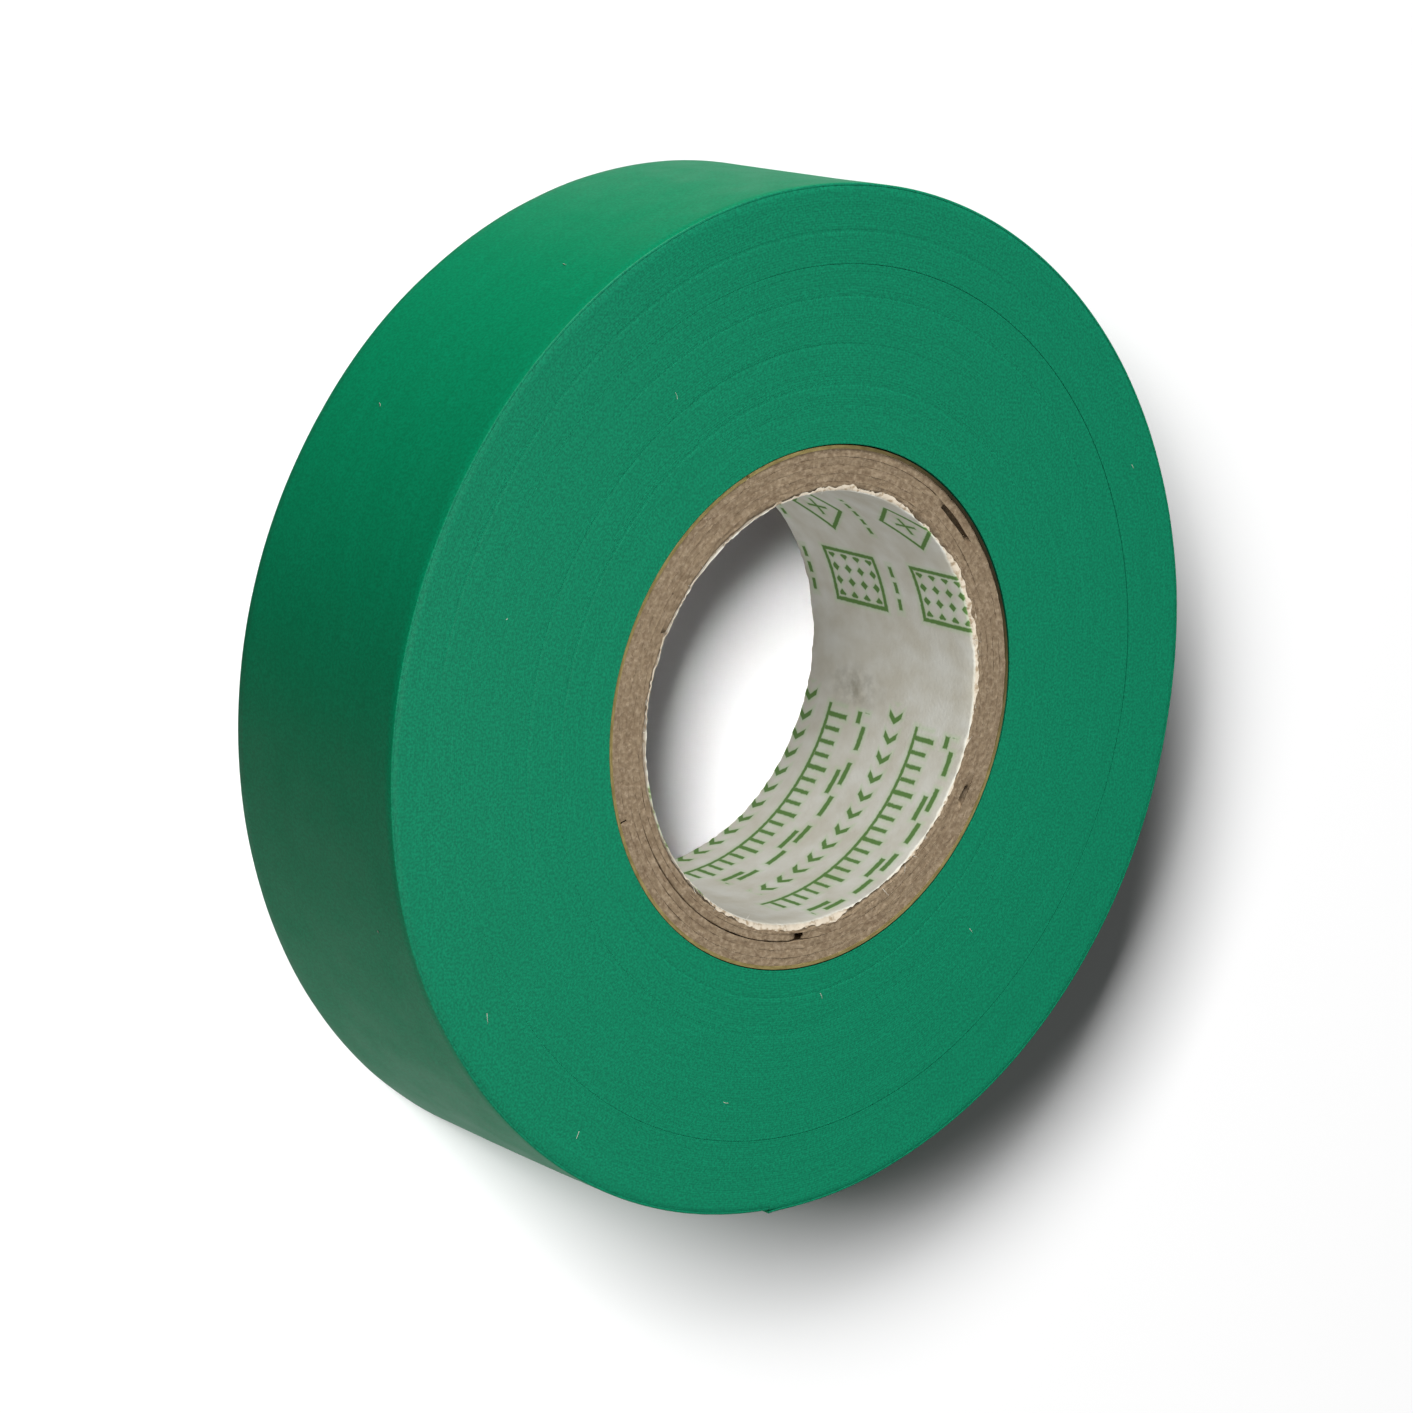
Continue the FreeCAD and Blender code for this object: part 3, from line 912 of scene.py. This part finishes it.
@dataclass
class FilmStrip:
    """A length of the outermost film: a thin strip with rounded edges, lying on the spiral.

    The profile is the film's cross section; it is carried along the spiral between two angles. A
    point's radius is the spiral's, less its distance inside the film, plus the skin's wave, plus a lift
    that grows as (1 - degrees from the tip / lift angle)^2.
    """

    name: str
    path: Spiral
    width: float
    first: float
    last: float
    step: float = 1.4
    inset: float = 0.067
    edge: float = 0.05
    chamfer: float = 0.02
    rows: int = 25
    inside_rows: int = 6
    lift: float = 0.0
    lift_angle: float = 2.0
    skin: FilmSurface = field(default_factory=FilmSurface)

    def section(self) -> Array:
        """Cross section in mm, as rows of distance inside the film's outer side and height.

        The rows run over the front edge, down the outside, over the back edge and up the inside.
        """
        film, top = self.path.film, self.width - self.inset
        front = np.array([[film, top - self.chamfer], [film - 0.03, top], [0.08, top],
                          [self.chamfer, top - 0.012]])
        wall = np.linspace(top - self.edge, self.edge + self.inset, self.rows)
        outside = np.stack([np.zeros(self.rows), wall], 1)
        back = front[::-1] * [1, -1] + [0, self.width]
        heights = np.linspace(1.0, self.width - 1.0, self.inside_rows)
        inside = np.stack([np.full(self.inside_rows, film), heights], 1)
        return np.concatenate([front, outside, back, inside])

    def build(self, finishes: list[Material]) -> Piece:
        """Make the strip.

        Args:
            finishes: the film's satin side, and its slit edges.

        Returns:
            The new piece.
        """
        columns = max(int(math.ceil((self.last - self.first) / self.step)), 4) + 1
        angle = np.linspace(self.first, self.last, columns)[None]
        profile = self.section()
        inset, height = profile[:, :1], profile[:, 1:] + 0 * angle
        radius = self.path.reach(angle) - inset + self.skin.wave(angle + 0 * height, height, self.width)
        near = np.clip(1 - (angle - self.path.tip) / self.lift_angle, 0, 1)
        radius = radius + self.lift * near**2
        # Both edges are rounded off as the windings under them are, on the rows within 0.3 mm of an edge.
        middle = self.width / 2
        drop = self.skin.rim(inset) - self.skin.rim(np.array(self.path.film))
        drop = drop * (np.abs(height - middle) > middle - 0.3)
        height = height - np.where(profile[:, 1:] > middle, 1, -1) * drop
        finish_of_row = np.ones(len(profile), np.int32)
        finish_of_row[np.flatnonzero(inset[:, 0] <= self.chamfer)[:-1]] = 0
        return carry_round(self.name, radius, angle + 0 * height, height, False, finishes, finish_of_row)


@dataclass
class Tape:
    """The wound tape: three windings, the last turn, and the free end in short lengths and a tip."""

    sizes: RollSizes
    skin: FilmSurface = field(default_factory=FilmSurface)
    tip_lift: float = 0.12
    parts: int = 5

    def build(self) -> list[Piece]:
        """Make and dress the tape."""
        edges, satin = SlitFilmEdges().build(), SatinFilm().build()
        pieces = self.wind(edges)
        pieces += self.cover([satin, edges])
        for piece in pieces:
            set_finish(piece, Slot.FILM.value)
        return pieces

    def wind(self, finish: Material) -> list[Piece]:
        """Make the three windings, from the core outwards."""
        s = self.sizes
        first = Circle(s.inner_winding[0].radius - s.film, s.inner_winding[0].centre)
        last = Spiral(s.outside.radius - s.film, s.film, s.outside.tip)
        # Each line is a place across the winding and the two angles between which it shows.
        windings = [
            Winding("winding_first", first, s.inner_winding[0], s.width, 1, 400),
            Winding("winding_inner", *s.inner_winding, s.width, 26, 100,
                    lines=((0.42, 200, 330), (0.9, 60, 190))),
            Winding("winding_middle", *s.middle_winding, s.width, 46, 200,
                    lines=((0.3, 80, 200), (0.55, 250, 20), (0.72, 30, 130))),
            Winding("winding_outer", s.outer_inside, last, s.width, 32, 300,
                    lines=((0.42, 60, 170), (0.68, 290, 40)), skin=self.skin),
        ]
        pieces = []
        nodes = ("tape_first_turn", *(f"tape_{part}_winding" for part in ("inner", "middle", "outer")))
        for winding, node in zip(windings, nodes):
            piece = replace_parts(winding.build(finish), node)
            pieces.append(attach(piece, "roll"))
        return pieces

    def cover(self, finishes: list[Material]) -> list[Piece]:
        """Make the last turn and the free end.

        The free end's lengths run from the middle of one hinged part to the middle of the next.
        """
        s = self.sizes
        half = s.piece_angle / 2
        root = s.outside.tip + self.parts * s.piece_angle
        strip = partial(FilmStrip, path=s.outside, width=s.width, skin=self.skin)
        last_turn = strip(name="last_turn", first=root + half, last=s.outside.tip + 359.9).build(finishes)
        pieces = [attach(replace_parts(last_turn, "tape_last_turn"), "roll")]
        bodies = ["roll", *(f"free_end_{part}" for part in range(1, self.parts + 1))]
        for part in range(1, self.parts + 1):
            hinge = root - (part - 1) * s.piece_angle
            bend = strip(name=f"free_end_bend_{part}", first=hinge - half, last=hinge + half, step=0.5)
            piece = bend.build(finishes)
            start, end = (self.on_film(hinge + side) for side in (half, -half))
            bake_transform(piece)
            pieces.append(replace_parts(piece, f"tape_end_{part}"))
        tip = strip(name="free_end_tip", first=s.outside.tip, last=s.outside.tip + half, step=0.2,
                    lift=self.tip_lift)
        pieces.append(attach(tip.build(finishes), bodies[-1]))
        return pieces

    def on_film(self, angle: float) -> tuple[float, float, float]:
        """Point in metres in the middle of the outermost film at an angle."""
        radius = float(self.sizes.outside.reach(np.array(angle))) - self.sizes.film / 2
        turn = math.radians(angle)
        return (radius * math.cos(turn) * MM, radius * math.sin(turn) * MM, self.sizes.width / 2 * MM)


def dress_node(frame: dict[str, Any], node: str, finish: Material) -> None:
    """Give a CAD node that stays in view its finish."""
    for slot in frame["nodes"][node].material_slots:
        slot.material = finish
    log.info("%s keeps its CAD shape, in %s", node, finish.name)


# ---------------------------------------------------------------- the core


@dataclass
class ChipboardPly:
    """One ply of the core: a strip wound on a slant, whose two edges leave a butt seam.

    The ring starts and ends at the seam, which leans as it goes down. Its cut ends are rough and its
    corners worn.
    """

    number: int
    inside: float
    outside: float
    width: float
    seam_angle: float
    seam_width: float
    lean: float = 30.0
    columns: int = 720
    worn: float = 0.0
    rub: float = 0.2
    rub_length: float = 0.3
    rag_length: float = 0.5
    clearance: float = 0.008
    back_inset: float = 0.05
    foot: float = 0.06
    open_outside: tuple[tuple[float, float, float], ...] = ()
    open_inside: tuple[tuple[float, float, float], ...] = ()

    def build(self, finish: Material) -> Piece:
        """Make the ply.

        Args:
            finish: the board's material.

        Returns:
            The new piece.
        """
        middle = (self.inside + self.outside) / 2
        half = math.degrees(self.seam_width / 2 / middle)
        share = np.linspace(0, 1, self.columns)[None]
        straight = self.seam_angle + half + share * (360 - 2 * half)
        around = straight / 360
        # The corners at the seam are rubbed down by rub exp(-distance / length); the bore's edge is worn.
        seam = np.minimum(share, 1 - share) * 2 * math.pi * middle
        most = min(self.rub, 0.25 * self.seam_width)
        rub = most * np.exp(-seam / self.rub_length)
        worn = self.worn * (0.75 + 0.35 * ripple(around, 31, 40) + 0.25 * ripple(around, 97, 41))
        front_inside = self.inside + worn + self.clearance + self.opening(straight, self.open_inside)
        front_outside = self.outside - self.clearance - self.opening(straight, self.open_outside)
        across = np.array([0.0, 0.22, 0.5, 0.78, 1.0])[:, None]
        face = front_inside + (front_outside - front_inside) * across
        back_inside, back_outside = self.inside + self.back_inset, self.outside - self.back_inset
        back_face = back_inside + (back_outside - back_inside) * across + 0 * share
        front = self.width - rub - self.roughness(around, across, self.number)
        back = rub + self.roughness(around, across, self.number + 30)
        depth, left = np.array(OPEN_LEVELS)[:, :1], np.array(OPEN_LEVELS)[:, 1:]
        low = np.linspace(self.width - 6.5, self.foot, 10)[:, None] + 0 * share
        outer_z = np.concatenate([front[-1:] - depth, low])
        outer_gap = np.concatenate([left * (self.outside - front_outside), 0 * low])
        inner_z = np.concatenate([low[::-1], front[:1] - depth[::-1] - 0.7 * worn])
        inner_gap = np.concatenate([0 * low, left[::-1] * (front_inside - self.inside - worn)])
        radii = np.concatenate([face, self.outside - outer_gap, back_face[::-1], self.inside + inner_gap])
        heights = np.concatenate([front, outer_z, back[::-1], inner_z])
        # The seam leans by (width - height) tan(lean), with ragged edges where it starts and ends.
        rows = np.linspace(0, 1, len(heights))[:, None] + 0 * share
        uneven = relief(0.3 + 0.4 * share + 0 * rows, rows, (7, 26), self.number + 60)
        ragged = most * np.exp(-seam / self.rag_length) * uneven
        slant = np.degrees(((self.width - heights) * math.tan(math.radians(self.lean)) + ragged) / middle)
        return carry_round(f"ply_{self.number}", radii, straight + slant, heights, False, [finish])

    def opening(self, angle: Array, cracks: tuple[tuple[float, float, float], ...]) -> Array:
        """How far a side of the ply stands back from its neighbour, or reaches over it, at each angle.

        Args:
            angle: angles of the columns.
            cracks: first angle, last angle and distance in mm of each stretch.

        Returns:
            Distances in mm.
        """
        gap = 0 * angle
        for first, last, size in cracks:
            ragged = 0.75 + 0.25 * ripple(angle / 360, 90, 44)
            gap = gap + size * ragged * window(angle, first, last, (last - first) / 3)
        return gap

    def roughness(self, around: Array, across: Array, seed: int) -> Array:
        """Depth of the cut end below the width: felted grain 0.4 mm across over longer waves."""
        share, along = around + 0 * across, across + 0 * around
        depth = 0.07 + 0 * share
        for height, cells, step in ((0.025, (290, 3), 0), (0.02, (110, 2), 10), (0.02, (17, 1), 20)):
            depth = depth + height * relief(share, along, cells, seed + step)
        return depth


@dataclass
class Liner:
    """Printed liner paper in the bore, torn where the tube was cut, and folded over the worn board."""

    sizes: RollSizes
    thickness: float = 0.12
    columns: int = 1300
    rows: int = 16
    board_gap: float = 0.02
    lowest: float = 0.02

    def fringe(self, angle: Array) -> Array:
        """How far the torn edge reaches over the board, in mm.

        It has patches of wide and bare edge and tears of two sizes, and less of it all at 120-225 degrees.
        """
        share = angle / 360
        patch = 0.26 + 0.24 * ripple(share, 19, 60) + 0.16 * ripple(share, 53, 68)
        tears = 0.11 * ripple(share, 131, 61) + 0.08 * ripple(share, 397, 62)
        return np.clip(patch * (1 - 0.65 * window(angle, 120, 225, 20)) + tears, 0.03, 0.75)

    def build(self, finish: Material) -> Piece:
        """Make the liner: up the bore, outwards over the board's edge, and back under itself.

        Args:
            finish: the printed paper's material.

        Returns:
            The new piece.
        """
        s = self.sizes
        angle = np.arange(self.columns)[None] * 360 / self.columns
        share = angle / 360
        reach = self.fringe(angle)
        turn = 0.12 + 0.6 * reach + 0.07 * ripple(share, 53, 63)
        foot = 0.12 + 0.1 * ripple(share, 61, 64) + 0.06 * ripple(share, 240, 65)
        foot = np.maximum(foot, self.lowest)
        crown = s.width - 0.05 - 0.03 * ripple(share, 150, 66)
        up = np.linspace(0, 1, self.rows)[:, None]
        wall_z = foot + (crown - turn - foot) * up
        puckers = 0.012 * (1 + relief(share + 0 * up, up + 0 * share, (29, 5), 67))
        wall_r = s.bore + puckers
        # The fold is a quarter of an ellipse, reach wide and turn high. The paper thins to its torn edge.
        fold_r = wall_r[-1:] + reach * (1 - np.cos(FOLD))
        fold_z = crown - turn + turn * np.sin(FOLD)
        thin = self.thickness * np.array([0.25, 0.5, 0.8, 1.0])[:, None]
        under_r, under_z = fold_r[::-1] + thin * 0.8, fold_z[::-1] - thin
        outer_z = wall_z[::-5]
        outer_r = s.bore + self.thickness + self.board_gap + 0 * outer_z
        radii = np.concatenate([wall_r, fold_r, under_r, outer_r])
        heights = np.concatenate([wall_z, fold_z, under_z, outer_z])
        return carry_round("printed_liner", radii, angle + 0 * radii, heights, True, [finish])


@dataclass
class Core:
    """The spirally wound tube: five plies of chipboard, the wrap paper round them and the printed liner."""

    sizes: RollSizes
    # Each ply's seam: its angle and its width in mm.
    seams: tuple[tuple[float, float], ...] = ((160, 0.3), (274, 0.8), (338, 1.4), (50, 3.8), (205, 0.12))
    bore_wear: float = 0.38
    fibre_count: int = 34
    fibre_thickness: float = 0.035

    def build(self, frame: dict[str, Any]) -> list[Piece]:
        """Make and dress the core.


        Returns:
            The pieces.
        """
        board, paper, lint = Chipboard().build(), PrintedLiner().build(), LintFibre().build()
        dress_node(frame, "core_wrap", WrapPaper().build())
        pieces = [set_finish(piece, Slot.BOARD.value) for piece in self.plies(board)]
        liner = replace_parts(Liner(self.sizes).build(paper), "core_liner")
        pieces += [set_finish(liner, Slot.LINER.value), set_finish(self.fibres(lint), Slot.LINER.value)]
        return [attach(piece, "roll") for piece in pieces]

    def plies(self, finish: Material) -> list[Piece]:
        """Make the plies, each with its seam, and the crack where two of them came apart at the cut."""
        outside = {2: ((221, 272, 0.10), (300, 322, 0.05)), 3: ((43, 57, -0.12),), 4: ((60, 110, 0.03),)}
        inside = {3: ((221, 272, 0.05),), 5: ((43, 57, -0.12),), 4: ((328, 348, -0.12),)}
        pieces = []
        for number, (angle, width) in enumerate(self.seams, 1):
            near, far = self.sizes.plies[number - 1:number + 1]
            ply = ChipboardPly(
                number, near, far, self.sizes.width, angle, width,
                worn=self.bore_wear if number == 1 else 0.0,
                open_outside=outside.get(number, ()), open_inside=inside.get(number, ()),
            )
            pieces.append(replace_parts(ply.build(finish), f"core_ply_{number}"))
        return pieces

    def fibres(self, finish: Material) -> Piece:
        """Pull loose fibres out of the liner's torn edge."""
        draw = np.random.default_rng(5)
        count = self.fibre_count
        angle = np.radians(draw.uniform(0, 360, count))
        radius = self.sizes.bore + draw.uniform(0.1, 0.45, count)
        root = polar(radius, angle, np.full(count, self.sizes.width - 0.08))
        lean = angle + np.radians(draw.uniform(-110, 110, count)) + math.pi * (draw.random(count) < 0.4)
        heading = polar(np.ones(count), lean, draw.uniform(-0.1, 0.25, count))
        bend = draw.uniform(-0.2, 0.2, (count, 3)) * [1, 1, 0.3]
        length = draw.uniform(0.25, 0.8, count)
        return make_hairs("torn_fibres", root, heading, bend, length, self.fibre_thickness, finish)


@dataclass
class Lint:
    """A few specks of lint on the tape, as a roll picks up in use."""

    sizes: RollSizes
    thickness: float = 0.06
    # Places on the face as (radius, angle), and on the outside as (angle, height).
    places: tuple[tuple[float, float], ...] = (
        (22.5, 281), (28.6, 128), (31.2, 168), (35.6, 218),
        (36.2, 240), (30.4, 262), (36.4, 33), (26.3, 318),
    )
    wall_places: tuple[tuple[float, float], ...] = ((128, 12.5), (150, 6.0), (205, 15.0))

    def build(self) -> list[Piece]:
        """Lay the fibres on the front face and on the outside."""
        draw = np.random.default_rng(9)
        radius, angle = np.array(self.places).T
        turn = np.radians(angle)
        on_face = polar(radius, turn, np.full(len(turn), self.sizes.width - 0.035))
        wall, height = np.array(self.wall_places).T
        side = np.radians(wall)
        on_wall = polar(self.sizes.outside.reach(wall) - 0.02, side, height)
        lean = draw.uniform(0, 2 * math.pi, len(turn))
        flat = polar(1 + 0 * lean, lean, 0.02 + 0 * lean)
        upright = polar(0.3 + 0 * side, side + math.pi / 2, 1 + 0 * side)
        root, heading = np.concatenate([on_face, on_wall]), np.concatenate([flat, upright])
        bend = draw.uniform(-0.15, 0.15, root.shape) * np.array([1, 1, 0.1])
        length = draw.uniform(0.3, 0.75, len(root))
        finish = LintFibre(name="pale_lint").build()
        lint = make_hairs("lint", root, heading, bend, length, self.thickness, finish)
        return [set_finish(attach(lint, "roll"), Slot.FILM.value)]


# ---------------------------------------------------------------- the studio


class Lit(Enum):
    """What a lamp lights."""

    FLOOR = "floor"
    ROLL = "roll"
    LINER = "liner"


@dataclass(frozen=True)
class Lamp:
    """A soft rectangular light that faces the roll from an azimuth and elevation, in metres and watts."""

    name: str
    azimuth: float
    elevation: float
    distance: float
    size: tuple[float, float]
    power: float
    lit: Lit
    spread: float = 180.0

    def build(self, chosen: list[Piece], others: list[Piece]) -> None:
        """Hang the light, and say what it lights.

        Args:
            chosen: the only objects that it lights, or none for everything but the others.
            others: objects that it leaves dark.
        """
        data = bpy.data.lights.new(self.name, "AREA")
        data.shape, data.energy = "RECTANGLE", self.power
        data.size, data.size_y = self.size
        data.spread = math.radians(self.spread)
        light = bpy.data.objects.new(self.name, data)
        turn, rise = math.radians(self.azimuth), math.radians(self.elevation)
        outwards = Vector((
            math.cos(turn) * math.cos(rise), math.sin(turn) * math.cos(rise), math.sin(rise),
        ))
        light.location = outwards * self.distance
        light.rotation_mode = "QUATERNION"
        light.rotation_quaternion = outwards.to_track_quat("Z", "Y")
        light.visible_camera = False
        bpy.context.scene.collection.objects.link(light)
        lit = bpy.data.collections.new(f"lit_by_{self.name}")
        for thing in chosen or others:
            lit.objects.link(thing)
        light.light_linking.receiver_collection = lit
        if not chosen:
            for member in lit.collection_objects:
                member.light_linking.link_state = "EXCLUDE"


@dataclass
class Studio:
    """Pale floor, soft lights and the camera."""

    camera_place: Vector = field(default_factory=lambda: Vector((-198.57, 41.38, 228.49)) * MM)
    camera_right: Vector = field(default_factory=lambda: Vector((0.7514, 0.1271, 0.6475)))
    camera_up: Vector = field(default_factory=lambda: Vector((0.0, 0.9813, -0.1926)))
    lens: float = 99.14
    sensor: float = 36.0
    clip: tuple[float, float] = (0.01, 10.0)
    floor_half: float = 3.0
    # The floor lies just under the back face, so that the two never share a plane.
    floor_drop: float = 0.02 * MM
    surround: float = 0.07
    lamps: tuple[Lamp, ...] = (
        Lamp("floor_key", 154.5, 31.5, 4.0, (1.8, 0.85), 338.0, Lit.FLOOR),
        Lamp("bore_beam", 161, 41.5, 0.2, (0.03, 0.03), 0.0081, Lit.FLOOR, 18.0),
        Lamp("bore_glow", 161, 86, 0.2, (0.03, 0.03), 0.00032, Lit.FLOOR, 16.0),
        Lamp("roll_key", 99, 23, 1.5, (0.7, 0.7), 28.0, Lit.ROLL),
        Lamp("near_left", 205, 79, 0.2, (0.08, 0.08), 0.142, Lit.ROLL),
        Lamp("side_fill", 243, 14, 1.6, (1.2, 0.8), 8.0, Lit.ROLL),
        Lamp("low_card", 265, -40, 1.5, (2.4, 2.0), 7.0, Lit.ROLL),
        Lamp("back_card", 22, -42, 1.5, (1.4, 1.2), 2.0, Lit.ROLL),
        Lamp("bore_fill", 122, 50, 1.2, (0.9, 0.9), 19.3, Lit.LINER),
        Lamp("bore_fill_low", 235, 50, 1.2, (0.9, 0.9), 11.2, Lit.LINER),
    )

    def build(self, liner: list[Piece]) -> None:
        """Make the floor, the lights and the camera.

        Args:
            liner: the pieces in the bore, which have a light of their own.
        """
        floor = self.make_floor()
        # The liner's light is its own: it doesn't brighten the floor that shows through the bore.
        for piece in liner:
            piece.visible_diffuse = False
        for lamp in self.lamps:
            chosen = {Lit.FLOOR: [floor], Lit.LINER: liner, Lit.ROLL: []}[lamp.lit]
            lamp.build(chosen, [floor, *liner])
        self.make_surround()
        self.make_camera()

    def make_floor(self) -> Piece:
        """Lay a large pale floor under the roll."""
        half = self.floor_half
        mesh = bpy.data.meshes.new("floor")
        corners = [(x * half, y * half, -self.floor_drop) for x, y in ((-1, -1), (1, -1), (1, 1), (-1, 1))]
        mesh.from_pydata(corners, [], [(0, 1, 2, 3)])
        floor = bpy.data.objects.new("floor", mesh)
        bpy.context.scene.collection.objects.link(floor)
        mesh.materials.append(PaperSweep().build())
        # The roll's own lights take the place of what the floor would throw back at it.
        floor.visible_diffuse = floor.visible_glossy = floor.visible_shadow = False
        return floor

    def make_surround(self) -> None:
        """Surround the scene with weak, even light."""
        world = bpy.data.worlds.new("soft_surround")
        world.use_nodes = True
        background = world.node_tree.nodes["Background"]
        background.inputs["Color"].default_value = (1, 1, 1, 1)
        background.inputs["Strength"].default_value = self.surround
        bpy.context.scene.world = world
        bpy.context.scene.view_settings.view_transform = "Standard"

    def make_camera(self) -> None:
        """Set up the camera from its place and the directions of its right and upper sides."""
        data = bpy.data.cameras.new("camera")
        data.lens, data.sensor_width = self.lens, self.sensor
        data.clip_start, data.clip_end = self.clip
        camera = bpy.data.objects.new("camera", data)
        right = self.camera_right.normalized()
        up = (self.camera_up - right * self.camera_up.dot(right)).normalized()
        turn = Matrix((right, up, right.cross(up))).transposed()
        camera.matrix_world = Matrix.Translation(self.camera_place) @ turn.to_4x4()
        bpy.context.scene.collection.objects.link(camera)
        bpy.context.scene.camera = camera


def main() -> None:
    """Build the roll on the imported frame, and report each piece."""
    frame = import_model()
    sizes = RollSizes.from_frame(frame)
    core = Core(sizes).build(frame)
    for piece in [*core, *Tape(sizes).build(), *Lint(sizes).build()]:
        log.info("%s: %d faces", piece.name, len(piece.data.polygons))
    Studio().build([piece for piece in core if piece["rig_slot"] == Slot.LINER.value])


if __name__ == "__main__":
    logging.basicConfig(level=logging.INFO)
    main()
